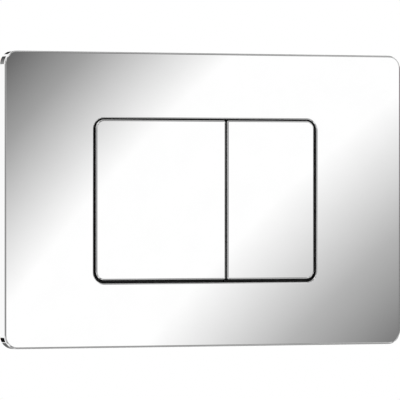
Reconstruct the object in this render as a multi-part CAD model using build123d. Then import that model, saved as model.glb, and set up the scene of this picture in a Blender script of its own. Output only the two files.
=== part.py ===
from build123d import *
from math import cos, pi, sin
import os

# Dual flush button plate for a concealed cistern.
# Frame: +X right, +Y into the wall, +Z up. The wall face is y = 0, the plate centre is x = z = 0.
# All sizes are in millimetres.

# Front plate
plate_width = 246.0
plate_height = 164.0
plate_depth = 6.4
plate_corner_radius = 7.5
plate_edge_radius = 1.0
face_thickness = 2.2
skirt_thickness = 2.0
plate_rib_thickness = 1.2
plate_rib_pitch = 40.0
window_corner_radius = 6.0
window_edge_radius = 0.8

# Buttons and the gaps round them
full_button_width = 80.1
half_button_width = 54.9
button_height = 89.2
button_depth = 4.2
button_face_thickness = 1.6
button_skirt_thickness = 1.5
button_corner_radius = 5.0
button_divider_radius = 1.3
button_edge_radius = 0.9
side_gap = 1.2
divider_gap = 0.8
top_gap = 0.65
bottom_gap = 1.6

# Rockers behind the buttons
rocker_thickness = 2.2
lip_overlap = 1.4
locating_rib_thickness = 1.6
locating_clearance = 0.1
rocker_rib_thickness = 1.8
rocker_rib_height = 2.6
gusset_length = 16.0
pusher_radius = 4.0
pusher_length = 4.4
pusher_chamfer = 1.6
stop_tab_width = 10.0
stop_tab_length = 5.0
bumper_radius = 2.6

# Hinges above the window
hinge_rise = 5.2
hinge_setback = 1.2
hinge_pin_radius = 1.5
hinge_pin_clearance = 0.05
knuckle_radius = 3.0
knuckle_width = 6.0
knuckle_inset = 5.8
ear_width = 4.0
ear_clearance = 0.4

# Push rods, their tips, stop nuts and return springs
rod_drop = 14.0
rod_radius = 3.0
rod_length = 56.0
rod_head_radius = 6.5
rod_head_thickness = 2.5
rod_clearance = 0.08
pusher_clearance = 0.3
tip_radius = 4.0
tip_length = 24.0
tip_overlap = 10.0
tip_end_chamfer = 1.0
stop_nut_flats = 11.0
stop_nut_length = 6.0
stop_nut_clearance = 0.3
spring_radius = 4.4
spring_wire_radius = 0.45
spring_turns = 4
spring_runs_per_turn = 10
spring_end_clearance = 0.12

# Mounting frame
flange_thickness = 2.2
flange_inset = 6.0
flange_corner_radius = 5.0
tray_side_margin = 27.9
tray_end_margin = 12.2
tray_wall = 2.0
tray_corner_radius = 8.0
tray_depth = 19.0
web_thickness = 2.5
web_end_bar = 12.0
web_bridge_height = 24.0
web_post_width = 12.0
web_side_panel = 25.0
web_window_radius = 4.0
web_rib_thickness = 1.6
web_rib_height = 2.4
guide_wall = 3.0
guide_length = 8.0
guide_rib_thickness = 2.0

# Snap hooks that hold the plate on the frame
hook_spacing = 100.0
hook_width = 10.0
hook_thickness = 1.8
hook_clearance = 0.3
barb_start = 2.0
barb_length = 3.5
barb_height = 1.4

# Fixing studs, clamp nuts and washers
stud_offset = 14.9
stud_thread_radius = 4.0
stud_anchor_radius = 5.0
stud_anchor_length = 48.0
stud_collar_flats = 13.0
stud_collar_length = 5.0
stud_nose = 3.0
slot_clearance = 0.5
slot_length = 16.0
clamp_nut_flats = 17.0
clamp_nut_length = 7.0
thread_clearance = 0.05
washer_width = 20.0
washer_thickness = 1.2

# How far joined features run into each other, and the least corner radius of a mould
weld = 0.5
least_radius = 0.4

# Levels along Y, from the front face to the back
front = -plate_depth
face_back = front + face_thickness
cap_back = front + button_depth
rocker_back = cap_back + rocker_thickness
hinge_y = rocker_back + hinge_setback
pusher_end = rocker_back + pusher_length
rod_front = pusher_end + pusher_clearance
rod_head_back = rod_front + rod_head_thickness
rod_end = rod_front + rod_length
web_front = tray_depth
web_back = web_front + web_thickness
guide_end = web_back + guide_length
washer_front = web_front - washer_thickness
nut_front = washer_front - clamp_nut_length

# Window, worked out from the buttons and their gaps
window_width = full_button_width + divider_gap + half_button_width + 2 * side_gap
window_top = button_height / 2 + top_gap
window_bottom = -button_height / 2 - bottom_gap
window_height = window_top - window_bottom
window_z = (window_top + window_bottom) / 2
hinge_z = window_top + hinge_rise

# Tray and stud places, worked out from the window
tray_width = window_width + 2 * tray_side_margin
tray_height = window_height + 2 * tray_end_margin
stud_x = window_width / 2 + stud_offset


def block(sketch, start, end):
    """Solid from a sketch drawn in X and Z, between two depths along Y."""
    return extrude(Plane.XZ.offset(-start) * sketch, end - start, dir=(0, 1, 0))


def span(sketch, start, end):
    """Solid from a sketch drawn in Y and Z, between two places along X."""
    return extrude(Plane.YZ.offset(start) * sketch, end - start, dir=(1, 0, 0))


def box(left, right, bottom, top, start, end):
    """Plain block between six planes."""
    centre = Pos((left + right) / 2, (bottom + top) / 2)
    return block(centre * Rectangle(right - left, top - bottom), start, end)


class Side:
    """Places that belong to one button: its edges, middle, knuckles and ears."""

    def __init__(self, name, left, width, outer):
        self.name = name
        self.left = left
        self.right = left + width
        self.width = width
        self.middle = left + width / 2
        self.outer = outer
        first = self.left + knuckle_inset
        last = self.right - knuckle_inset
        self.knuckles = [(first, first + knuckle_width), (last - knuckle_width, last)]
        ear_left = first - ear_clearance
        ear_right = last + ear_clearance
        self.ears = [(ear_left - ear_width, ear_left), (ear_right, ear_right + ear_width)]
        self.arms = [first + knuckle_width / 2, last - knuckle_width / 2]


full = Side("full_flush", -window_width / 2 + side_gap, full_button_width, -1)
half = Side("half_flush", full.right + divider_gap, half_button_width, 1)
sides = [full, half]
divider_x = full.right + divider_gap / 2


def outline(side, top, bottom, outward, inward, outer_radius, divider_radius):
    """Button outline grown by its four margins, with its own radius on the divider side."""
    left = side.left - (outward if side.outer < 0 else inward)
    right = side.right + (outward if side.outer > 0 else inward)
    low = -button_height / 2 - bottom
    high = button_height / 2 + top
    shape = Rectangle(right - left, high - low)
    outer_end, divider_end = (0, -1) if side.outer < 0 else (-1, 0)
    shape = fillet(shape.vertices().group_by(Axis.X)[outer_end], max(outer_radius, least_radius))
    shape = fillet(shape.vertices().group_by(Axis.X)[divider_end], max(divider_radius, least_radius))
    return Pos((left + right) / 2, (low + high) / 2) * shape


def inset(side, amount):
    """Button outline shrunk evenly on all four sides."""
    outer_radius = button_corner_radius - amount
    divider_radius = button_divider_radius - amount
    return outline(side, -amount, -amount, -amount, -amount, outer_radius, divider_radius)


def hinge_lug(reach):
    """Round lug at the hinge line with a foot that runs forward to the plate."""
    foot = Polygon(
        (reach, hinge_z - knuckle_radius),
        (hinge_y, hinge_z - knuckle_radius),
        (hinge_y, hinge_z + knuckle_radius),
        (reach, hinge_z + knuckle_radius),
        align=None,
    )
    return foot + Pos(hinge_y, hinge_z) * Circle(knuckle_radius)


def hinge_bore():
    """Hole for the hinge pin."""
    return Pos(hinge_y, hinge_z) * Circle(hinge_pin_radius + hinge_pin_clearance)


def hook(x, way):
    """Snap hook with a sloped barb; way is 1 at the top and -1 at the bottom."""
    wall = window_z + way * (tray_height / 2)
    outer = wall - way * hook_clearance
    inner = outer - way * hook_thickness
    tip = outer + way * barb_height
    end = barb_start + barb_length
    profile = Polygon(
        (face_back - weld, inner),
        (end, inner),
        (end, outer),
        (barb_start, tip),
        (barb_start, outer),
        (face_back - weld, outer),
        align=None,
    )
    return span(profile, x - hook_width / 2, x + hook_width / 2)


def plate_ribs():
    """Short ribs on the back of the plate that seat on the frame's flange."""
    inner_x = plate_width / 2 - skirt_thickness + weld
    inner_z = plate_height / 2 - skirt_thickness + weld
    start_x = tray_width / 2 + tray_wall
    start_z = tray_height / 2 + tray_wall + abs(window_z)
    half_rib = plate_rib_thickness / 2
    levels = (face_back - weld, -flange_thickness)
    ribs = []
    across = int((start_x - plate_rib_pitch / 4) // plate_rib_pitch)
    for step in range(-across, across + 1):
        x = step * plate_rib_pitch
        for way in (-1, 1):
            low, high = sorted((way * start_z, way * inner_z))
            ribs.append(box(x - half_rib, x + half_rib, low, high, *levels))
    upward = int((start_z - plate_rib_pitch / 4) // plate_rib_pitch)
    for step in range(-upward, upward + 1):
        z = step * plate_rib_pitch
        for way in (-1, 1):
            left, right = sorted((way * start_x, way * inner_x))
            ribs.append(box(left, right, z - half_rib, z + half_rib, *levels))
    return ribs


def front_plate():
    """Thin chromed shell with the button window, hinge ears, ribs and snap hooks."""
    inner_width = plate_width - 2 * skirt_thickness
    inner_height = plate_height - 2 * skirt_thickness
    inner_radius = max(plate_corner_radius - skirt_thickness, least_radius)
    window = Pos(0, window_z) * RectangleRounded(window_width, window_height, window_corner_radius)
    shell = block(RectangleRounded(plate_width, plate_height, plate_corner_radius), front, 0)
    shell -= block(RectangleRounded(inner_width, inner_height, inner_radius), face_back, 0)
    shell -= block(window, front, 0)
    shell = fillet(shell.faces().sort_by(Axis.Y)[0].outer_wire().edges(), plate_edge_radius)
    shell = fillet(shell.faces().sort_by(Axis.Y)[0].inner_wires()[0].edges(), window_edge_radius)
    ears = [span(hinge_lug(face_back - weld) - hinge_bore(), *ear) for side in sides for ear in side.ears]
    hooks = [hook(x, way) for x in (-hook_spacing / 2, hook_spacing / 2) for way in (-1, 1)]
    return shell + ears + plate_ribs() + hooks


def button_cap(side):
    """Chromed cap: a face with a skirt, open at the back."""
    cap = block(inset(side, 0), front, cap_back)
    cap -= block(inset(side, button_skirt_thickness), front + button_face_thickness, cap_back)
    return fillet(cap.faces().sort_by(Axis.Y)[0].edges(), button_edge_radius)


def rocker(side):
    """Black carrier under a cap, with hinge knuckles, a pusher and two stop tabs."""
    reach = lip_overlap
    lip = outline(
        side, top_gap + reach, bottom_gap + reach, side_gap + reach, 0,
        window_corner_radius + reach, button_divider_radius,
    )
    body = block(lip, cap_back, rocker_back)
    rib_outer = button_skirt_thickness + locating_clearance
    rib_inner = rib_outer + locating_rib_thickness
    rib_front = front + button_face_thickness + locating_clearance
    hollow = Pos(side.middle, 0) * Rectangle(side.width - 2 * rib_inner, button_height - 2 * rib_inner)
    body += block(inset(side, rib_outer) - hollow, rib_front, cap_back + weld)
    body += rocker_back_ribs(side)
    body += [span(knuckle_profile(), *place) for place in side.knuckles]
    tab_top = window_bottom - lip_overlap + weld
    tab_bottom = window_bottom - lip_overlap - stop_tab_length
    for x in side.arms:
        half_tab = stop_tab_width / 2
        body += box(x - half_tab, x + half_tab, tab_bottom, tab_top, cap_back, rocker_back)
    pusher = block(Pos(side.middle, -rod_drop) * Circle(pusher_radius), rocker_back - weld, pusher_end)
    body += chamfer(pusher.faces().sort_by(Axis.Y)[-1].edges(), pusher_chamfer)
    return body - [span(hinge_bore(), *place) for place in side.knuckles]


def knuckle_profile():
    """Hinge knuckle with a gusset that slopes down onto the rocker's back."""
    root = rocker_back - weld
    gusset = Polygon(
        (root, hinge_z - gusset_length),
        (hinge_y + knuckle_radius, hinge_z),
        (root, hinge_z),
        align=None,
    )
    return gusset + Pos(hinge_y, hinge_z) * Circle(knuckle_radius)


def rocker_back_ribs(side):
    """Upright ribs below the knuckles, joined by two cross ribs."""
    half_rib = rocker_rib_thickness / 2
    levels = (rocker_back - weld, rocker_back + rocker_rib_height)
    low = window_bottom - lip_overlap - stop_tab_length / 2
    ribs = []
    for x in side.arms:
        ribs.append(box(x - half_rib, x + half_rib, low, hinge_z - gusset_length / 2, *levels))
    for z in (-rod_drop, window_bottom + bottom_gap):
        ribs.append(box(side.arms[0], side.arms[1], z - half_rib, z + half_rib, *levels))
    return ribs


def bumpers(side):
    """Two rubber discs between the stop tabs and the back of the plate."""
    z = window_bottom - lip_overlap - stop_tab_length / 2
    return [block(Pos(x, z) * Circle(bumper_radius), face_back, cap_back) for x in side.arms]


def hinge_pin(side):
    """Plain steel pin through both ears and both knuckles."""
    return span(Pos(hinge_y, hinge_z) * Circle(hinge_pin_radius), side.ears[0][0], side.ears[1][1])


def push_rod(side):
    """Rod with a round head that the rocker's pusher bears on."""
    centre = Pos(side.middle, -rod_drop)
    head = block(centre * Circle(rod_head_radius), rod_front, rod_head_back)
    return head + block(centre * Circle(rod_radius), rod_head_back - weld, rod_end)


def rod_tip(side):
    """Adjustable end that screws onto the rod and meets the flush valve's lever."""
    centre = Pos(side.middle, -rod_drop)
    start = rod_end - tip_overlap
    tip = block(centre * Circle(tip_radius), start, start + tip_length)
    tip = chamfer(tip.faces().sort_by(Axis.Y)[-1].edges(), tip_end_chamfer)
    return tip - block(centre * Circle(rod_radius + thread_clearance), start, rod_end)


def stop_nut(side):
    """Hexagon nut on the rod behind its guide."""
    start = guide_end + stop_nut_clearance
    nut = RegularPolygon(stop_nut_flats / 2, 6, major_radius=False)
    nut -= Circle(rod_radius + thread_clearance)
    return block(Pos(side.middle, -rod_drop) * nut, start, start + stop_nut_length)


def return_spring(side):
    """Compression spring between the rod head and the frame's web, coiled in short straight runs."""
    start = rod_head_back + spring_end_clearance + spring_wire_radius
    length = web_front - spring_end_clearance - spring_wire_radius - start
    runs = spring_turns * spring_runs_per_turn
    points = []
    for run in range(runs + 1):
        angle = 2 * pi * run / spring_runs_per_turn
        x = side.middle + spring_radius * cos(angle)
        z = -rod_drop + spring_radius * sin(angle)
        points.append((x, start + length * run / runs, z))
    path = Polyline(*points)
    wire = Plane(path @ 0, z_dir=path % 0) * RegularPolygon(spring_wire_radius, 6)
    return sweep(wire, path=path, transition=Transition.RIGHT)


def web_windows():
    """Openings in the web, as left, right, bottom and top edges."""
    edge_x = tray_width / 2 - web_side_panel
    top = window_z + tray_height / 2 - web_end_bar
    bottom = window_z - tray_height / 2 + web_end_bar
    bridge_top = -rod_drop + web_bridge_height / 2
    bridge_bottom = -rod_drop - web_bridge_height / 2
    columns = [(-edge_x, divider_x - web_post_width / 2), (divider_x + web_post_width / 2, edge_x)]
    rows = [(bridge_top, top), (bottom, bridge_bottom)]
    return [(left, right, low, high) for left, right in columns for low, high in rows]


def rounded(left, right, low, high, radius):
    """Rounded rectangle between four edges."""
    return Pos((left + right) / 2, (low + high) / 2) * RectangleRounded(right - left, high - low, radius)


def mounting_frame():
    """Moulded tray for the wall opening: flange, walls, web, rod guides and slots."""
    flange_width = plate_width - 2 * (skirt_thickness + flange_inset)
    flange_height = plate_height - 2 * (skirt_thickness + flange_inset)
    outer_width = tray_width + 2 * tray_wall
    outer_height = tray_height + 2 * tray_wall
    centre = Pos(0, window_z)
    frame = block(RectangleRounded(flange_width, flange_height, flange_corner_radius), -flange_thickness, 0)
    tray = centre * RectangleRounded(outer_width, outer_height, tray_corner_radius)
    frame += block(tray, -flange_thickness, web_back)
    hollow = RectangleRounded(tray_width, tray_height, max(tray_corner_radius - tray_wall, least_radius))
    frame -= block(centre * hollow, -flange_thickness, web_front)
    for edges in web_windows():
        frame -= block(rounded(*edges, web_window_radius), web_front, web_back)
    frame += web_ribs() + guides()
    for side in sides:
        bore = Pos(side.middle, -rod_drop) * Circle(rod_radius + rod_clearance)
        frame -= block(bore, web_front, guide_end)
    slot = SlotOverall(slot_length, 2 * (stud_thread_radius + slot_clearance), rotation=90)
    frame -= [block(Pos(x, 0) * slot, web_front, web_back) for x in (-stud_x, stud_x)]
    return frame - catches()


def web_ribs():
    """Straight ribs on the back of the web, along its end bars and beside its windows."""
    half_rib = web_rib_thickness / 2
    levels = (web_back - weld, web_back + web_rib_height)
    edge_x = tray_width / 2 - web_side_panel
    top = window_z + tray_height / 2 - web_end_bar
    bottom = window_z - tray_height / 2 + web_end_bar
    columns = [-edge_x - 2 * half_rib, divider_x, edge_x + 2 * half_rib]
    rows = [bottom - 2 * half_rib, top + 2 * half_rib]
    ribs = [box(x - half_rib, x + half_rib, rows[0], rows[1], *levels) for x in columns]
    for z in rows:
        ribs.append(box(columns[0] - half_rib, columns[2] + half_rib, z - half_rib, z + half_rib, *levels))
    return ribs


def guides():
    """Rod guide tubes behind the web, with a long rib that stiffens the bridge."""
    radius = rod_radius + rod_clearance + guide_wall
    tubes = [
        block(Pos(side.middle, -rod_drop) * Circle(radius), web_back - weld, guide_end) for side in sides
    ]
    half_rib = guide_rib_thickness / 2
    reach = tray_width / 2 - web_side_panel
    levels = (web_back - weld, web_back + guide_length / 2)
    return [box(-reach, reach, -rod_drop - half_rib, -rod_drop + half_rib, *levels)] + tubes


def catches():
    """Slots in the tray's top and bottom walls that the snap hooks catch in."""
    reach = hook_width / 2 + hook_clearance
    start = barb_start - hook_clearance
    end = barb_start + barb_length + hook_clearance
    slots = []
    for x in (-hook_spacing / 2, hook_spacing / 2):
        for way in (-1, 1):
            inner = window_z + way * (tray_height / 2 - weld)
            outer = window_z + way * (tray_height / 2 + tray_wall)
            low, high = sorted((inner, outer))
            slots.append(box(x - reach, x + reach, low, high, start, end))
    return slots


def fixing_stud(x):
    """Double-ended stud: a front thread for the clamp nut, a hexagon collar, a rear anchor."""
    collar_end = web_back + stud_collar_length
    thread = block(Pos(x, 0) * Circle(stud_thread_radius), nut_front - stud_nose, web_back + weld)
    collar = RegularPolygon(stud_collar_flats / 2, 6, major_radius=False)
    stud = thread + block(Pos(x, 0) * collar, web_back, collar_end)
    anchor_end = collar_end + stud_anchor_length
    return stud + block(Pos(x, 0) * Circle(stud_anchor_radius), collar_end - weld, anchor_end)


def clamp_nut(x):
    """Hexagon nut that draws the web against the stud's collar from inside the tray."""
    nut = RegularPolygon(clamp_nut_flats / 2, 6, major_radius=False)
    nut -= Circle(stud_thread_radius + thread_clearance)
    return block(Pos(x, 0) * nut, nut_front, washer_front)


def clamp_washer(x):
    """Square washer that bridges the stud slot."""
    plate = Rectangle(washer_width, washer_width) - Circle(stud_thread_radius + thread_clearance)
    return block(Pos(x, 0) * plate, washer_front, web_front)


def save(shapes, name):
    """Write one node's STEP file."""
    solids = shapes if isinstance(shapes, list) else [shapes]
    export_step(Compound(children=solids) if len(solids) > 1 else solids[0], "parts/" + name + ".step")


os.makedirs("parts", exist_ok=True)
save(front_plate(), "front_plate")
save(mounting_frame(), "mounting_frame")
for side in sides:
    save(button_cap(side), side.name + "_button")
    save(rocker(side), side.name + "_rocker")
    save(bumpers(side), side.name + "_bumpers")
    save(hinge_pin(side), side.name + "_hinge_pin")
    save(push_rod(side), side.name + "_push_rod")
    save(rod_tip(side), side.name + "_rod_tip")
    save(stop_nut(side), side.name + "_stop_nut")
    save(return_spring(side), side.name + "_spring")
for place, x in (("left", -stud_x), ("right", stud_x)):
    save(fixing_stud(x), "fixing_stud_" + place)
    save(clamp_nut(x), "clamp_nut_" + place)
    save(clamp_washer(x), "clamp_washer_" + place)
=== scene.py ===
import math
import bpy
import bmesh
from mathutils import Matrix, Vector


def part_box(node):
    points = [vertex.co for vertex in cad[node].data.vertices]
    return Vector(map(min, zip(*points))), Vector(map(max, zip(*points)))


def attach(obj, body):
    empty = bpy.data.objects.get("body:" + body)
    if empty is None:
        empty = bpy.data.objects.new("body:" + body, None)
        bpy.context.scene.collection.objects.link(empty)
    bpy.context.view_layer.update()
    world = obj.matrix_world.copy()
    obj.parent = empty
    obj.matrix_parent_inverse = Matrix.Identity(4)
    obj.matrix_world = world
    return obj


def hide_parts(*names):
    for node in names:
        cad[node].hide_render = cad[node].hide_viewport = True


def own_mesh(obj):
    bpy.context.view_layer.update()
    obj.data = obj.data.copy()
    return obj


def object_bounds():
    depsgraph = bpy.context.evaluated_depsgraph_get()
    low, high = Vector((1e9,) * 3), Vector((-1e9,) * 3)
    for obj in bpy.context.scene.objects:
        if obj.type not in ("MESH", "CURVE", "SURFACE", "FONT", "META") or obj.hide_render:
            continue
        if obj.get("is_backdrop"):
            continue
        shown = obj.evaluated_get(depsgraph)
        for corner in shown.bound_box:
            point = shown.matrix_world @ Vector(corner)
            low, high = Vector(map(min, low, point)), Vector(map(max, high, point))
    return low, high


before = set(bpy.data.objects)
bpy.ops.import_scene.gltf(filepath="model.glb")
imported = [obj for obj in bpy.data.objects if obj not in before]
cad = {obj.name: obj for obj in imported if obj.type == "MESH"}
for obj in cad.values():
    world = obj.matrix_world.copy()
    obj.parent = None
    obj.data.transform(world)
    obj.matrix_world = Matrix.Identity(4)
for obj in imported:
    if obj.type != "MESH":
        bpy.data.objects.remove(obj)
cad_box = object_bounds()


# Mounting frame: the tray that sits in the wall opening and carries everything else.
# Injection-moulded grey ABS with a fine spark-eroded skin, drawn to the cistern by two studs.
def new_group(name, inputs, outputs):
    """Empty shader group with named sockets, and the sockets of its two end nodes."""
    group = bpy.data.node_groups.new(name, "ShaderNodeTree")
    for label, kind, value in inputs:
        socket = group.interface.new_socket(name=label, in_out="INPUT", socket_type=kind)
        socket.default_value = value
    for label, kind in outputs:
        group.interface.new_socket(name=label, in_out="OUTPUT", socket_type=kind)
    given = group.nodes.new("NodeGroupInput").outputs
    result = group.nodes.new("NodeGroupOutput").inputs
    return group, given, result


def add(tree, kind, **settings):
    """New node in a tree, with its properties set."""
    node = tree.nodes.new(kind)
    for key, value in settings.items():
        setattr(node, key, value)
    return node


def feed(tree, source, socket):
    """Link a socket to another one, or set it to a number or a colour."""
    if isinstance(source, bpy.types.NodeSocket):
        tree.links.new(source, socket)
    else:
        socket.default_value = source


def noise(tree, place, per_metre, detail):
    """Noise over the surface; its scale is a number or a socket."""
    texture = add(tree, "ShaderNodeTexNoise")
    tree.links.new(place, texture.inputs["Vector"])
    feed(tree, per_metre, texture.inputs["Scale"])
    texture.inputs["Detail"].default_value = detail
    return texture.outputs["Fac"]


def between(tree, value, low, high, out_low=0.0, out_high=1.0):
    """Value mapped from one range to another; the new ends are numbers or sockets."""
    node = add(tree, "ShaderNodeMapRange")
    tree.links.new(value, node.inputs["Value"])
    node.inputs["From Min"].default_value = low
    node.inputs["From Max"].default_value = high
    feed(tree, out_low, node.inputs["To Min"])
    feed(tree, out_high, node.inputs["To Max"])
    return node.outputs["Result"]


def blend_colours(tree, factor, first, second):
    """Colour between two others, which are colours or sockets."""
    node = add(tree, "ShaderNodeMix", data_type="RGBA")
    first_colour, second_colour, blended = node.inputs[6], node.inputs[7], node.outputs[2]
    tree.links.new(factor, node.inputs["Factor"])
    feed(tree, first, first_colour)
    feed(tree, second, second_colour)
    return blended


soft_edge, given, result = new_group(
    "soft edge",
    [("Radius", "NodeSocketFloat", 0.0003)],
    [("Normal", "NodeSocketVector"), ("Edge", "NodeSocketFloat")],
)
flat_agreement, edge_agreement = 0.98, 0.75
rounding = add(soft_edge, "ShaderNodeBevel", samples=6)
surface = add(soft_edge, "ShaderNodeNewGeometry")
agreement = add(soft_edge, "ShaderNodeVectorMath", operation="DOT_PRODUCT")
soft_edge.links.new(given["Radius"], rounding.inputs["Radius"])
soft_edge.links.new(rounding.outputs["Normal"], agreement.inputs[0])
soft_edge.links.new(surface.outputs["Normal"], agreement.inputs[1])
soft_edge.links.new(rounding.outputs["Normal"], result["Normal"])
edge_mask = between(soft_edge, agreement.outputs["Value"], flat_agreement, edge_agreement)
soft_edge.links.new(edge_mask, result["Edge"])

moulded_skin, given, result = new_group(
    "moulded skin",
    [
        ("Colour", "NodeSocketColor", (0.5, 0.5, 0.5, 1)),
        ("Flow colour", "NodeSocketColor", (0.4, 0.4, 0.4, 1)),
        ("Rubbed colour", "NodeSocketColor", (0.6, 0.6, 0.6, 1)),
        ("Edge", "NodeSocketFloat", 0.0),
        ("Grain per metre", "NodeSocketFloat", 2200.0),
        ("Least roughness", "NodeSocketFloat", 0.4),
        ("Most roughness", "NodeSocketFloat", 0.6),
    ],
    [("Colour", "NodeSocketColor"), ("Roughness", "NodeSocketFloat"), ("Height", "NodeSocketFloat")],
)
flow_per_metre, patches_per_metre, most_wear = 38, 160, 0.75
place = add(moulded_skin, "ShaderNodeTexCoord").outputs["Object"]
flow = between(moulded_skin, noise(moulded_skin, place, flow_per_metre, detail=3), 0.3, 0.7)
tinted = blend_colours(moulded_skin, flow, given["Colour"], given["Flow colour"])
patches = noise(moulded_skin, place, patches_per_metre, detail=4)
edge_wear = between(moulded_skin, given["Edge"], 0.0, 1.0, 0.0, most_wear)
rubbed = between(moulded_skin, patches, 0.45, 0.7, 0.0, edge_wear)
worn = blend_colours(moulded_skin, rubbed, tinted, given["Rubbed colour"])
dulling = between(moulded_skin, patches, 0.3, 0.7, given["Least roughness"], given["Most roughness"])
grain = noise(moulded_skin, place, given["Grain per metre"], detail=2)
moulded_skin.links.new(worn, result["Colour"])
moulded_skin.links.new(dulling, result["Roughness"])
moulded_skin.links.new(grain, result["Height"])


def skinned(name, group, values, relief, relief_depth, edge_radius=0.0, shader_values=()):
    """Material with its colour, roughness and fine relief from a skin group; a radius softens its edges."""
    material = bpy.data.materials.new(name)
    material.use_nodes = True
    tree = material.node_tree
    shader = tree.nodes["Principled BSDF"]
    for label, value in shader_values:
        shader.inputs[label].default_value = value
    skin = add(tree, "ShaderNodeGroup", node_tree=group)
    for label, value in values.items():
        skin.inputs[label].default_value = value
    bump = add(tree, "ShaderNodeBump")
    bump.inputs["Strength"].default_value = relief
    bump.inputs["Distance"].default_value = relief_depth
    if edge_radius:
        edges = add(tree, "ShaderNodeGroup", node_tree=soft_edge)
        edges.inputs["Radius"].default_value = edge_radius
        tree.links.new(edges.outputs["Normal"], bump.inputs["Normal"])
        if "Edge" in skin.inputs:
            tree.links.new(edges.outputs["Edge"], skin.inputs["Edge"])
    tree.links.new(skin.outputs["Height"], bump.inputs["Height"])
    tree.links.new(skin.outputs["Colour"], shader.inputs["Base Color"])
    tree.links.new(skin.outputs["Roughness"], shader.inputs["Roughness"])
    tree.links.new(bump.outputs["Normal"], shader.inputs["Normal"])
    return material


def dress(node, material):
    """Give a CAD node's object its material."""
    part = cad[node]
    part.data.materials.clear()
    part.data.materials.append(material)


moulded_relief = 0.35
frame_grey = skinned("frame_grey", moulded_skin, {
    "Colour": (0.315, 0.335, 0.355, 1),
    "Flow colour": (0.285, 0.303, 0.322, 1),
    "Rubbed colour": (0.45, 0.47, 0.49, 1),
    "Grain per metre": 1900,
    "Least roughness": 0.44,
    "Most roughness": 0.6,
}, moulded_relief, relief_depth=0.00004, edge_radius=0.00035)
dress("mounting_frame", frame_grey)


# Fixing studs with their clamp nuts and square washers: they pull the frame's web to the cistern.
# Steel bar with rolled threads and a pressed hexagon collar, zinc plated; the nuts are black nylon.
def make_piece(name, parts, smooth_degrees):
    """Mesh object from lists of corner points and faces, shaded smooth up to an angle."""
    mesh = bpy.data.meshes.new(name)
    points = []
    faces = []
    for part_points, part_faces in parts:
        shift = len(points)
        points += part_points
        faces += [tuple(index + shift for index in face) for face in part_faces]
    mesh.from_pydata(points, [], faces)
    shape = bmesh.new()
    shape.from_mesh(mesh)
    bmesh.ops.recalc_face_normals(shape, faces=shape.faces)
    for face in shape.faces:
        face.smooth = True
    for edge in shape.edges:
        edge.smooth = len(edge.link_faces) < 2 or edge.calc_face_angle(0) < math.radians(smooth_degrees)
    shape.to_mesh(mesh)
    shape.free()
    piece = bpy.data.objects.new(name, mesh)
    bpy.context.scene.collection.objects.link(piece)
    return piece


def walls(rows, count):
    """Faces that join rows of points, each row a closed ring."""
    faces = []
    for row in range(rows - 1):
        low = row * count
        for step in range(count):
            after = (step + 1) % count
            faces.append((low + step, low + after, low + count + after, low + count + step))
    return faces


def stacked(x, z, rings):
    """Skin through rings along Y; a ring is its depth, or a list of depths, and its radii."""
    count = len(rings[0][1])
    points = []
    for depths, radii in rings:
        for step in range(count):
            turn = 2 * math.pi * step / count
            depth = depths[step] if isinstance(depths, list) else depths
            points.append((x + radii[step] * math.cos(turn), depth, z + radii[step] * math.sin(turn)))
    return points, walls(len(rings), count)


def capped(skin, count):
    """The same skin with both its end rings closed."""
    points, faces = skin
    last = len(points) - count
    return points, faces + [tuple(range(count)), tuple(range(last, last + count))]


def threaded(x, z, start, end, radius, pitch, bevels):
    """Bar with a right-hand rolled thread, its crests at the nominal radius; bevels are its end chamfers."""
    around, rows_per_turn = 36, 7
    depth, flank, crest = 0.55 * pitch, 1.7, 0.35
    rows = max(2, round((end - start) / (pitch / rows_per_turn)))
    rings = []
    for row in range(rows + 1):
        y = start + (end - start) * row / rows
        limit = radius
        if bevels[0]:
            limit = min(limit, radius - bevels[0] + (y - start))
        if bevels[1]:
            limit = min(limit, radius - bevels[1] + (end - y))
        radii = []
        for step in range(around):
            phase = (y / pitch + step / around) % 1.0
            cut = min(1.0, max(0.0, flank * (1 - abs(2 * phase - 1)) - crest))
            radii.append(min(limit, radius - depth * cut))
        rings.append((y, radii))
    return capped(stacked(x, z, rings), around)


def hexagon(x, z, start, end, flats, bore=0.0):
    """Hexagon with turned corners at both ends, solid or with a bore of the given radius."""
    count = 60
    lead_in = 0.0004
    turned_radius = 0.97 * flats / 2
    turned_slope = math.tan(math.radians(30))
    reach = []
    for step in range(count):
        turn = (2 * math.pi * step / count) % (math.pi / 3) - math.pi / 6
        reach.append(flats / 2 / math.cos(turn))
    end_ring = [turned_radius] * count
    drop = [(radius - turned_radius) * turned_slope for radius in reach]
    rings = [
        (start, end_ring),
        ([start + fall for fall in drop], reach),
        ([end - fall for fall in drop], reach),
        (end, end_ring),
    ]
    if not bore:
        return capped(stacked(x, z, rings), count)
    mouth = [bore + lead_in] * count
    hole = [bore] * count
    inside = (start + lead_in, hole)
    rings = [inside, (start, mouth)] + rings + [(end, mouth), (end - lead_in, hole), inside]
    return stacked(x, z, rings)


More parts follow.
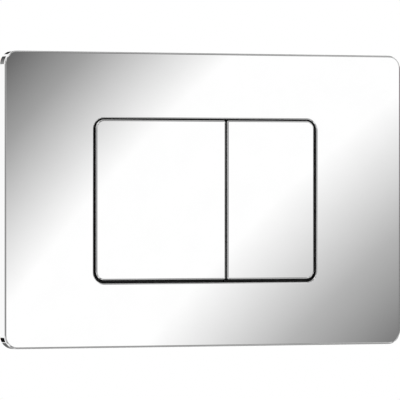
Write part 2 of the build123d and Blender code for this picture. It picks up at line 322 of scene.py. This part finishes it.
plated_metal, given, result = new_group(
    "plated metal",
    [
        ("Colour", "NodeSocketColor", (0.7, 0.7, 0.7, 1)),
        ("Bloom colour", "NodeSocketColor", (0.6, 0.6, 0.6, 1)),
        ("Crystals per metre", "NodeSocketFloat", 700.0),
        ("Least roughness", "NodeSocketFloat", 0.25),
        ("Most roughness", "NodeSocketFloat", 0.45),
    ],
    [("Colour", "NodeSocketColor"), ("Roughness", "NodeSocketFloat"), ("Height", "NodeSocketFloat")],
)
bloom_per_metre, pits_per_metre = 220, 2600
place = add(plated_metal, "ShaderNodeTexCoord").outputs["Object"]
bloom = between(plated_metal, noise(plated_metal, place, bloom_per_metre, detail=4), 0.4, 0.7)
bloomed = blend_colours(plated_metal, bloom, given["Colour"], given["Bloom colour"])
crystals = add(plated_metal, "ShaderNodeTexVoronoi")
plated_metal.links.new(place, crystals.inputs["Vector"])
plated_metal.links.new(given["Crystals per metre"], crystals.inputs["Scale"])
shade = add(plated_metal, "ShaderNodeSeparateColor")
plated_metal.links.new(crystals.outputs["Color"], shade.inputs["Color"])
least, most = given["Least roughness"], given["Most roughness"]
spangle = between(plated_metal, shade.outputs["Red"], 0.0, 1.0, least, most)
plated_metal.links.new(bloomed, result["Colour"])
plated_metal.links.new(spangle, result["Roughness"])
plated_metal.links.new(noise(plated_metal, place, pits_per_metre, detail=3), result["Height"])

metal = ("Metallic", 1.0)
plated_relief, plated_depth = 0.2, 0.00002
stud_zinc = skinned("stud_zinc", plated_metal, {
    "Colour": (0.66, 0.665, 0.66, 1),
    "Bloom colour": (0.55, 0.56, 0.57, 1),
    "Crystals per metre": 900,
    "Least roughness": 0.26,
    "Most roughness": 0.42,
}, plated_relief, plated_depth, edge_radius=0.0001, shader_values=[metal])
washer_zinc = skinned("washer_zinc", plated_metal, {
    "Colour": (0.7, 0.705, 0.7, 1),
    "Bloom colour": (0.58, 0.59, 0.6, 1),
    "Crystals per metre": 420,
    "Least roughness": 0.22,
    "Most roughness": 0.46,
}, plated_relief, plated_depth, edge_radius=0.00025, shader_values=[metal])
nut_black = skinned("nut_black", moulded_skin, {
    "Colour": (0.02, 0.02, 0.022, 1),
    "Flow colour": (0.026, 0.026, 0.028, 1),
    "Rubbed colour": (0.07, 0.07, 0.075, 1),
    "Grain per metre": 2600,
    "Least roughness": 0.34,
    "Most roughness": 0.5,
}, moulded_relief, relief_depth=0.00002, edge_radius=0.0002)
front_radius, front_pitch, front_bevel = 0.004, 0.00125, 0.0008
anchor_radius, anchor_pitch, anchor_bevel = 0.005, 0.0015, 0.001
collar_front, collar_back, collar_flats, into_collar = 0.0215, 0.0265, 0.013, 0.0004
clamp_flats, clamp_bore = 0.017, 0.00405
for hand in ("left", "right"):
    low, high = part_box("fixing_stud_" + hand)
    x = (low[0] + high[0]) / 2
    collar = hexagon(x, 0, collar_front, collar_back, collar_flats)
    front_end, anchor_start = collar_front + into_collar, collar_back - into_collar
    front_thread = threaded(x, 0, low[1], front_end, front_radius, front_pitch, (front_bevel, 0))
    anchor = threaded(x, 0, anchor_start, high[1], anchor_radius, anchor_pitch, (0, anchor_bevel))
    stud = make_piece("stud_" + hand, [front_thread, collar, anchor], smooth_degrees=35)
    stud.data.materials.append(stud_zinc)
    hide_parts("fixing_stud_" + hand)
    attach(stud, "plate_assembly")
    low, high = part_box("clamp_nut_" + hand)
    hexagon_nut = hexagon(x, 0, low[1], high[1], clamp_flats, clamp_bore)
    nut = make_piece("clamping_nut_" + hand, [hexagon_nut], smooth_degrees=25)
    nut.data.materials.append(nut_black)
    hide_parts("clamp_nut_" + hand)
    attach(nut, "plate_assembly")
    dress("clamp_washer_" + hand, washer_zinc)


# Push rods with their stop nuts and screw-on tips: they carry each button's stroke to the valve.
# Moulded white acetal rods with a cut thread, black nylon nuts, blue nylon tips with a fluted grip.
def turned(x, z, profile, count):
    """Solid of revolution along Y through pairs of depth and radius."""
    return capped(stacked(x, z, [(y, [radius] * count) for y, radius in profile]), count)


def fluted(x, z, start, end, radius, bevel):
    """Round tip with shallow grip flutes round its middle and a bevelled nose."""
    count, flutes, flute_depth, mouth_bevel = 96, 16, 0.00035, 0.0004
    stations = [
        (start, mouth_bevel, 0.0),
        (start + mouth_bevel, 0.0, 0.0),
        (start + 0.003, 0.0, 0.0),
        (start + 0.0038, 0.0, flute_depth),
        (end - 0.0068, 0.0, flute_depth),
        (end - 0.006, 0.0, 0.0),
        (end - bevel, 0.0, 0.0),
        (end, bevel, 0.0),
    ]
    rings = []
    for y, inset, cut in stations:
        radii = []
        for step in range(count):
            wave = 0.5 - 0.5 * math.cos(2 * math.pi * flutes * step / count)
            radii.append(radius - inset - cut * wave)
        rings.append((y, radii))
    return capped(stacked(x, z, rings), count)


rod_white = skinned("rod_white", moulded_skin, {
    "Colour": (0.8, 0.8, 0.775, 1),
    "Flow colour": (0.77, 0.77, 0.745, 1),
    "Rubbed colour": (0.84, 0.84, 0.82, 1),
    "Grain per metre": 1500,
    "Least roughness": 0.3,
    "Most roughness": 0.42,
}, moulded_relief, relief_depth=0.00002, edge_radius=0.0002, shader_values=[
    ("Subsurface Weight", 0.2), ("Subsurface Radius", (0.0015, 0.0015, 0.0012)),
])
tip_blue = skinned("tip_blue", moulded_skin, {
    "Colour": (0.045, 0.15, 0.4, 1),
    "Flow colour": (0.038, 0.13, 0.355, 1),
    "Rubbed colour": (0.12, 0.25, 0.52, 1),
    "Grain per metre": 1800,
    "Least roughness": 0.32,
    "Most roughness": 0.46,
}, moulded_relief, relief_depth=0.00002, edge_radius=0.0002)
head_profile = [
    (0.0002, 0.0042), (0.0, 0.0046), (0.0, 0.006), (0.00015, 0.00635), (0.0005, 0.0065),
    (0.0023, 0.0065), (0.0025, 0.0063), (0.0025, 0.0035), (0.003, 0.003),
]
rod_radius, rod_pitch, rod_bevel, rod_sides = 0.003, 0.001, 0.0005, 48
thread_start, neck_bevel, into_neck = 0.0305, 0.0004, 0.0006
tip_radius, tip_bevel = 0.004, 0.001
stop_flats, stop_bore = 0.011, 0.00305
for button in ("full", "half"):
    body = button + "_flush_rod_body"
    low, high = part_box(button + "_flush_push_rod")
    x, z = (low[0] + high[0]) / 2, (low[2] + high[2]) / 2
    profile = [(low[1] + depth, radius) for depth, radius in head_profile]
    profile += [(thread_start - neck_bevel, rod_radius), (thread_start, rod_radius - neck_bevel)]
    head = turned(x, z, profile, rod_sides)
    bevels = (rod_bevel, rod_bevel)
    shank = threaded(x, z, thread_start - into_neck, high[1], rod_radius, rod_pitch, bevels)
    rod = make_piece(button + "_rod", [head, shank], smooth_degrees=35)
    rod.data.materials.append(rod_white)
    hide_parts(button + "_flush_push_rod")
    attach(rod, body)
    low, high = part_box(button + "_flush_rod_tip")
    grip = fluted(x, z, low[1], high[1], tip_radius, tip_bevel)
    tip = make_piece(button + "_tip", [grip], smooth_degrees=30)
    tip.data.materials.append(tip_blue)
    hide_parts(button + "_flush_rod_tip")
    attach(tip, body)
    low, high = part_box(button + "_flush_stop_nut")
    hexagon_nut = hexagon(x, z, low[1], high[1], stop_flats, stop_bore)
    nut = make_piece(button + "_stopping_nut", [hexagon_nut], smooth_degrees=25)
    nut.data.materials.append(nut_black)
    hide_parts(button + "_flush_stop_nut")
    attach(nut, body)


# Return springs: one round each rod, between its head and the frame's web.
# Cold-wound round steel wire with closed ends.
def coil(x, z, start, end, radius, wire, turns, closed):
    """Round wire wound along Y, with closed turns at both ends."""
    steps_per_turn, sides, spacing = 40, 10, 1.02
    steps = int(turns * steps_per_turn)
    closed_pitch = 2 * wire * spacing
    open_pitch = (end - start - 2 * closed * closed_pitch) / (turns - 2 * closed)
    centres = []
    for step in range(steps + 1):
        turn = turns * step / steps
        first = min(turn, closed)
        last = max(0.0, turn - (turns - closed))
        y = start + closed_pitch * (first + last) + open_pitch * (turn - first - last)
        angle = 2 * math.pi * turn
        centres.append(Vector((x + radius * math.cos(angle), y, z + radius * math.sin(angle))))
    points = []
    for index, centre in enumerate(centres):
        along = (centres[min(index + 1, steps)] - centres[max(index - 1, 0)]).normalized()
        outward = Vector((centre.x - x, 0, centre.z - z)).normalized()
        side = along.cross(outward).normalized()
        for step in range(sides):
            turn = 2 * math.pi * step / sides
            points.append(tuple(centre + wire * (math.cos(turn) * outward + math.sin(turn) * side)))
    return capped((points, walls(steps + 1, sides)), sides)


spring_steel = skinned("spring_steel", plated_metal, {
    "Colour": (0.5, 0.5, 0.51, 1),
    "Bloom colour": (0.38, 0.38, 0.4, 1),
    "Crystals per metre": 1600,
    "Least roughness": 0.2,
    "Most roughness": 0.36,
}, plated_relief, plated_depth, edge_radius=0.00005, shader_values=[metal, ("Anisotropic", 0.4)])
wire_radius, coil_radius, coil_turns, closed_turns = 0.00045, 0.0044, 6, 0.9
for button in ("full", "half"):
    low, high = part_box(button + "_flush_spring")
    rod_low, rod_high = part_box(button + "_flush_push_rod")
    x, z = (rod_low[0] + rod_high[0]) / 2, (rod_low[2] + rod_high[2]) / 2
    start, end = low[1] + wire_radius, high[1] - wire_radius
    wound = coil(x, z, start, end, coil_radius, wire_radius, coil_turns, closed_turns)
    spring = make_piece(button + "_return_spring", [wound], smooth_degrees=50)
    spring.data.materials.append(spring_steel)
    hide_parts(button + "_flush_spring")
    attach(spring, "plate_assembly")
    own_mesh(spring)


# Rockers: the black carriers that the buttons clip onto; they swing on pins above the window.
# Injection-moulded black ABS with an eroded skin; two rubber bumpers each quiet the return.
rocker_black = skinned("rocker_black", moulded_skin, {
    "Colour": (0.012, 0.012, 0.0125, 1),
    "Flow colour": (0.016, 0.016, 0.0165, 1),
    "Rubbed colour": (0.045, 0.045, 0.048, 1),
    "Grain per metre": 2200,
    "Least roughness": 0.5,
    "Most roughness": 0.66,
}, moulded_relief, relief_depth=0.00003, edge_radius=0.0003)
bumper_rubber = skinned("bumper_rubber", moulded_skin, {
    "Colour": (0.028, 0.028, 0.029, 1),
    "Flow colour": (0.035, 0.034, 0.033, 1),
    "Rubbed colour": (0.075, 0.073, 0.07, 1),
    "Grain per metre": 3200,
    "Least roughness": 0.72,
    "Most roughness": 0.88,
}, moulded_relief, relief_depth=0.00003, edge_radius=0.0003, shader_values=[("Specular IOR Level", 0.3)])
nose_profile = [(0.0, 0.0009), (0.0001, 0.0004), (0.0004, 0.0001), (0.0007, 0.0)]
bumper_sides = 36
for button in ("full", "half"):
    dress(button + "_flush_rocker", rocker_black)
    low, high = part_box(button + "_flush_bumpers")
    radius = (high[2] - low[2]) / 2
    z = (low[2] + high[2]) / 2
    profile = [(low[1] + depth, radius - inset) for depth, inset in nose_profile]
    profile.append((high[1], radius))
    discs = [turned(x, z, profile, bumper_sides) for x in (low[0] + radius, high[0] - radius)]
    pads = make_piece(button + "_pads", discs, smooth_degrees=40)
    pads.data.materials.append(bumper_rubber)
    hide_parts(button + "_flush_bumpers")
    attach(pads, button + "_flush_button_body")


# Hinge pins: plain pins through the plate's ears and the rockers' knuckles.
# Ground stainless steel wire, cut to length and pressed into the ears.
pin_steel = skinned("pin_steel", plated_metal, {
    "Colour": (0.6, 0.595, 0.585, 1),
    "Bloom colour": (0.53, 0.525, 0.515, 1),
    "Crystals per metre": 1500,
    "Least roughness": 0.18,
    "Most roughness": 0.3,
}, plated_relief, plated_depth, edge_radius=0.0002, shader_values=[metal, ("Anisotropic", 0.5)])
for button in ("full", "half"):
    dress(button + "_flush_hinge_pin", pin_steel)


# Front plate: the thin shell seen on the wall, with the window for the buttons.
# Injection-moulded ABS, bright chrome plated and barely wavy; it snaps onto the frame.
# The plating is thinner and duller on its inner side.
chrome_skin, given, result = new_group(
    "chrome skin",
    [
        ("Clear roughness", "NodeSocketFloat", 0.02),
        ("Cloudy roughness", "NodeSocketFloat", 0.03),
        ("Inner roughness", "NodeSocketFloat", 0.3),
    ],
    [("Colour", "NodeSocketColor"), ("Roughness", "NodeSocketFloat"), ("Height", "NodeSocketFloat")],
)
clear_colour, cloudy_colour = (0.955, 0.955, 0.955, 1), (0.945, 0.945, 0.945, 1)
inner_colour = (0.66, 0.645, 0.62, 1)
clouds_per_metre, waves_per_metre = 60, 45
place = add(chrome_skin, "ShaderNodeTexCoord").outputs["Object"]
surface = add(chrome_skin, "ShaderNodeNewGeometry")
facing = add(chrome_skin, "ShaderNodeSeparateXYZ")
chrome_skin.links.new(surface.outputs["Normal"], facing.inputs["Vector"])
inner = between(chrome_skin, facing.outputs["Y"], 0.3, 0.6)
clouds = between(chrome_skin, noise(chrome_skin, place, clouds_per_metre, detail=4), 0.35, 0.65)
outside = blend_colours(chrome_skin, clouds, clear_colour, cloudy_colour)
bright = between(chrome_skin, clouds, 0.0, 1.0, given["Clear roughness"], given["Cloudy roughness"])
dulled = between(chrome_skin, inner, 0.0, 1.0, bright, given["Inner roughness"])
chrome_skin.links.new(blend_colours(chrome_skin, inner, outside, inner_colour), result["Colour"])
chrome_skin.links.new(dulled, result["Roughness"])
chrome_skin.links.new(noise(chrome_skin, place, waves_per_metre, detail=2), result["Height"])

chrome_values = {"Clear roughness": 0.02, "Cloudy roughness": 0.03, "Inner roughness": 0.3}
wave_relief, wave_depth = 0.1, 0.00001
chrome_plate = skinned(
    "chrome_plate", chrome_skin, chrome_values, wave_relief, wave_depth, shader_values=[metal]
)
dress("front_plate", chrome_plate)


# Buttons: the two caps that are pressed, a large one for the full flush and a small one for the half.
# Moulded ABS caps chromed like the plate, clipped onto the rockers flush with the plate's face.
chrome_buttons = skinned(
    "chrome_buttons", chrome_skin, chrome_values, wave_relief, wave_depth, shader_values=[metal]
)
for button in ("full", "half"):
    dress(button + "_flush_button", chrome_buttons)


# Studio cards: soft boxes in front of the plate, which only shiny surfaces see.
# The large card stands where the plate's face mirrors it and fades to grey at two opposite corners;
# the small one does the same for a view from straight in front.
def card(name, centre, normal, up, width, height):
    """Flat reflector card that no camera and no matt surface sees."""
    out = Vector(normal).normalized()
    side = Vector(up).cross(out).normalized()
    rise = out.cross(side)
    corners = []
    for u, v in ((-1, -1), (1, -1), (1, 1), (-1, 1)):
        corners.append(tuple(Vector(centre) + side * u * width / 2 + rise * v * height / 2))
    mesh = bpy.data.meshes.new(name)
    mesh.from_pydata(corners, [], [(0, 1, 2, 3)])
    uv = mesh.uv_layers.new(name="UVMap")
    for loop, spot in zip(uv.data, ((0, 0), (1, 0), (1, 1), (0, 1))):
        loop.uv = spot
    sheet = bpy.data.objects.new(name, mesh)
    bpy.context.scene.collection.objects.link(sheet)
    sheet.visible_camera = False
    sheet.visible_diffuse = False
    sheet.visible_shadow = False
    sheet.visible_transmission = False
    sheet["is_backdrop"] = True
    return sheet


def glowing(name):
    """Material that only glows, with its tree and its glow."""
    material = bpy.data.materials.new(name)
    material.use_nodes = True
    tree = material.node_tree
    tree.nodes.remove(tree.nodes["Principled BSDF"])
    glow = add(tree, "ShaderNodeEmission")
    tree.links.new(glow.outputs[0], tree.nodes["Material Output"].inputs["Surface"])
    return material, tree, glow


def times_plus(tree, value, factor, extra):
    """Value times a factor, plus an extra amount."""
    node = add(tree, "ShaderNodeMath", operation="MULTIPLY_ADD")
    for source, socket in zip((value, factor, extra), node.inputs):
        feed(tree, source, socket)
    return node.outputs[0]


def graded(name, width, height, brightest):
    """Soft light on a card: a bright band on the slant that fades to grey at two opposite corners."""
    material, tree, glow = glowing(name)
    spot = add(tree, "ShaderNodeSeparateXYZ")
    tree.links.new(add(tree, "ShaderNodeTexCoord").outputs["UV"], spot.inputs["Vector"])
    across = between(tree, spot.outputs["X"], 0.0, 1.0, -width / 2, width / 2)
    upward = between(tree, spot.outputs["Y"], 0.0, 1.0, -height / 2, height / 2)
    middle_lean, lean_change, half_run = 0.96, -1.25, 0.28
    slant = times_plus(tree, upward, times_plus(tree, across, lean_change, middle_lean), across)
    fade = add(tree, "ShaderNodeValToRGB")
    tree.links.new(between(tree, slant, half_run, -half_run), fade.inputs["Fac"])
    stops = [(-0.235, 0.105), (-0.18, 0.355), (-0.085, 1.0), (0.052, 1.0), (0.17, 0.46), (0.26, 0.195)]
    while len(fade.color_ramp.elements) < len(stops):
        fade.color_ramp.elements.new(0.5)
    for stop, (where, share) in zip(fade.color_ramp.elements, stops):
        level = share * brightest
        stop.position = (where + half_run) / (2 * half_run)
        stop.color = (level, level, level, 1)
    tree.links.new(fade.outputs["Color"], glow.inputs["Color"])
    return material


view_turn = math.radians(25.94)
face = Vector((0, -0.0064, 0))
upright, forward, sideways = (0, 0, 1), (0, 1, 0), (1, 0, 0)
mirrored_view = Vector((math.sin(view_turn), -math.cos(view_turn), 0))
for name, facing, distance, width, height, brightest in (
    ("graded_card", -mirrored_view, 0.9, 0.56, 0.46, 1.05),
    ("front_card", Vector(forward), 0.86, 0.3, 0.24, 0.55),
):
    sheet = card(name, face - facing * distance, facing, upright, width, height)
    sheet.data.materials.append(graded(name, width, height, brightest))


# Studio panels: large grey boards round the plate, which only shiny surfaces see.
# Those in front draw the lines on its rounded edges, the flags and panels behind mark its skirt's corners.
# The banded ones give the face a sheen when it is seen from the sides, from above or from below.
plain, below, everywhere = 0, 1, 2


def shaded(name, low_level, high_level, bands, strong_level):
    """Soft light along a board; slanting bands, if any, grow strong away from the plate's level."""
    material, tree, glow = glowing(name)
    place = add(tree, "ShaderNodeTexCoord")
    if bands:
        stripes = add(tree, "ShaderNodeTexWave", bands_direction="DIAGONAL")
        stripes.inputs["Scale"].default_value = 1.0
        tree.links.new(place.outputs["Object"], stripes.inputs["Vector"])
    if bands == everywhere:
        run = stripes.outputs["Fac"]
    else:
        along = add(tree, "ShaderNodeSeparateXYZ")
        tree.links.new(place.outputs["UV"], along.inputs["Vector"])
        run = along.outputs["Y"]
    level = between(tree, run, 0.0, 1.0, low_level, high_level)
    if bands:
        weak_until, strong_from, dark_level = 0.16, 0.3, 0.06
        height = add(tree, "ShaderNodeSeparateXYZ")
        tree.links.new(place.outputs["Object"], height.inputs["Vector"])
        if bands == everywhere:
            away = add(tree, "ShaderNodeMath", operation="ABSOLUTE")
            tree.links.new(height.outputs["Z"], away.inputs[0])
            share = between(tree, away.outputs[0], weak_until, strong_from)
        else:
            share = between(tree, height.outputs["Z"], -weak_until, -strong_from)
        strong = between(tree, stripes.outputs["Fac"], 0.0, 1.0, dark_level, strong_level)
        level = between(tree, share, 0.0, 1.0, level, strong)
    tree.links.new(level, glow.inputs["Strength"])
    return material


# A row is a name, centre, up, width, height, first and last level, bands and the bands' strong level.
boards = [
    ("backing_panel", (0.75, -1.55, 0.0), upright, 2.4, 2.4, 0.28, 0.1, below, 0.5),
    ("front_panel", (-0.42, -1.55, 0.0), upright, 1.5, 2.2, 0.05, 0.2, everywhere, 1.0),
    ("left_panel", (-1.474, -0.62, 0.0), upright, 1.65, 2.2, 0.2, 0.7, everywhere, 1.0),
    ("right_panel", (1.177, -1.098, 0.0), upright, 1.0, 2.2, 0.0, 0.28, everywhere, 1.0),
    ("far_right_panel", (1.519, 0.309, 0.0), upright, 2.38, 2.2, 0.0, 0.02, everywhere, 1.0),
    ("right_card", (0.9, -0.003, 0.0), upright, 0.09, 0.26, 0.2, 0.75, plain, 0.0),
    ("upper_panel", (0.45, -0.85, 1.38), forward, 2.2, 1.7, 0.1, 0.75, plain, 0.0),
    ("upper_rear_panel", (0.6, 0.55, 1.7), forward, 2.2, 1.3, 0.1, 0.14, plain, 0.0),
    ("lower_panel", (0.9, -0.85, -1.38), forward, 1.3, 1.7, 0.2, 0.6, plain, 0.0),
    ("lower_left_panel", (-0.5, -0.85, -1.38), forward, 1.75, 1.9, 0.06, 1.0, everywhere, 1.0),
    ("lower_rear_panel", (0.6, 0.55, -1.7), forward, 2.2, 1.3, 0.1, 0.14, plain, 0.0),
    ("upper_left_flag", (-2.58, 8.0, 2.35), upright, 3.04, 3.19, 0.3, 0.0, plain, 0.0),
    ("upper_flag", (1.64, 8.0, 3.3), upright, 2.44, 1.6, 0.0, 0.01, plain, 0.0),
    ("lower_left_flag", (-2.9, 8.0, -2.555), upright, 2.4, 2.29, 0.0, 0.01, plain, 0.0),
    ("upper_back_panel", (0.83, 1.36, 0.78), upright, 0.96, 0.8, 0.4, 0.3, plain, 0.0),
    ("lower_back_panel", (0.4355, 1.36, -0.49), sideways, 0.82, 1.649, 0.1, 0.3, plain, 0.0),
]
for name, spot, up, width, height, low_level, high_level, bands, strong_level in boards:
    facing = (0, -1, 0) if "flag" in name else face - Vector(spot)
    board = card(name, spot, facing, up, width, height)
    board.data.materials.append(shaded(name, low_level, high_level, bands, strong_level))


# Floor: a pale matt disc below the plate that takes its shadow and fades into the white round it.
# From below it is clear, so that the plate's underside can be seen.
def blend_surfaces(tree, factor, first, second):
    """Surface between two others."""
    node = add(tree, "ShaderNodeMixShader")
    for source, socket in zip((factor, first, second), node.inputs):
        tree.links.new(source, socket)
    return node.outputs[0]


floor_height, floor_radius, floor_sides = -0.24, 1.6, 96
fade_start, fade_end = 0.6, 1.5
mottles_per_metre = 9
pale, less_pale = (0.86, 0.86, 0.86, 1), (0.82, 0.82, 0.82, 1)
ring = []
for step in range(floor_sides):
    turn = 2 * math.pi * step / floor_sides
    ring.append((floor_radius * math.cos(turn), floor_radius * math.sin(turn), floor_height))
floor_mesh = bpy.data.meshes.new("floor")
floor_mesh.from_pydata(ring, [], [tuple(range(floor_sides))])
floor = bpy.data.objects.new("floor", floor_mesh)
bpy.context.scene.collection.objects.link(floor)
floor.visible_glossy = False
floor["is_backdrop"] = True
floor_pale = bpy.data.materials.new("floor_pale")
floor_pale.use_nodes = True
tree = floor_pale.node_tree
shader = tree.nodes["Principled BSDF"]
shader.inputs["Roughness"].default_value = 0.9
shader.inputs["Specular IOR Level"].default_value = 0.1
place = add(tree, "ShaderNodeTexCoord").outputs["Object"]
mottle = between(tree, noise(tree, place, mottles_per_metre, detail=3), 0.3, 0.7)
tree.links.new(blend_colours(tree, mottle, pale, less_pale), shader.inputs["Base Color"])
from_middle = add(tree, "ShaderNodeVectorMath", operation="LENGTH")
tree.links.new(place, from_middle.inputs[0])
fading = between(tree, from_middle.outputs["Value"], fade_start, fade_end)
white = add(tree, "ShaderNodeEmission").outputs[0]
above = blend_surfaces(tree, fading, shader.outputs[0], white)
clear = add(tree, "ShaderNodeBsdfTransparent").outputs[0]
from_below = add(tree, "ShaderNodeNewGeometry").outputs["Backfacing"]
both_sides = blend_surfaces(tree, from_below, above, clear)
tree.links.new(both_sides, tree.nodes["Material Output"].inputs["Surface"])
floor_mesh.materials.append(floor_pale)


# Soft lamps: one in front and above on the left, one behind on the right, one overhead.
# They light the matt pieces at a plain level and don't show in the chrome.
for name, spot, power, size in (
    ("key", (-1.3, -1.8, 1.3), 26, 1.2),
    ("rear", (1.4, 1.9, 1.2), 22, 1.2),
    ("overhead", (0.1, 0.2, 2.4), 12, 1.6),
):
    lamp = bpy.data.lights.new(name, "AREA")
    lamp.energy = power
    lamp.size = size
    lantern = bpy.data.objects.new(name, lamp)
    lantern.location = spot
    lantern.rotation_euler = (-Vector(spot)).to_track_quat("-Z", "Y").to_euler()
    lantern.visible_glossy = False
    bpy.context.scene.collection.objects.link(lantern)


# Camera: a long lens, level with the plate and about 26 degrees to its left.
# Its aim is just left of the plate's middle, so that the plate fills the frame's width.
reach = 2.8216
camera_data = bpy.data.cameras.new("camera")
camera_data.sensor_width = 36
camera_data.lens = 454.32
camera_data.clip_end = 50
camera = bpy.data.objects.new("camera", camera_data)
camera.location = face + reach * Vector((-math.sin(view_turn), -math.cos(view_turn), 0))
aim = face + Vector((-0.003975, 0, -0.00007))
camera.rotation_euler = (aim - camera.location).to_track_quat("-Z", "Y").to_euler()
bpy.context.scene.collection.objects.link(camera)
bpy.context.scene.camera = camera


# World: white behind the plate and in what shiny and clear surfaces show of it.
# Matt surfaces get a plain grey level from it as soft light.
matt_level, white_level = 0.55, 1.0
world = bpy.data.worlds.new("world")
bpy.context.scene.world = world
world.use_nodes = True
tree = world.node_tree
background = tree.nodes["Background"]
background.inputs["Color"].default_value = (1, 1, 1, 1)
path = add(tree, "ShaderNodeLightPath")
seen = path.outputs["Is Camera Ray"]
for ray in ("Is Glossy Ray", "Is Transmission Ray"):
    either = add(tree, "ShaderNodeMath", operation="MAXIMUM")
    tree.links.new(seen, either.inputs[0])
    tree.links.new(path.outputs[ray], either.inputs[1])
    seen = either.outputs[0]
tree.links.new(between(tree, seen, 0.0, 1.0, matt_level, white_level), background.inputs["Strength"])
bpy.context.scene.view_settings.view_transform = "Standard"

size = {"cad": [list(corner) for corner in cad_box], "visual": [list(corner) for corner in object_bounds()]}
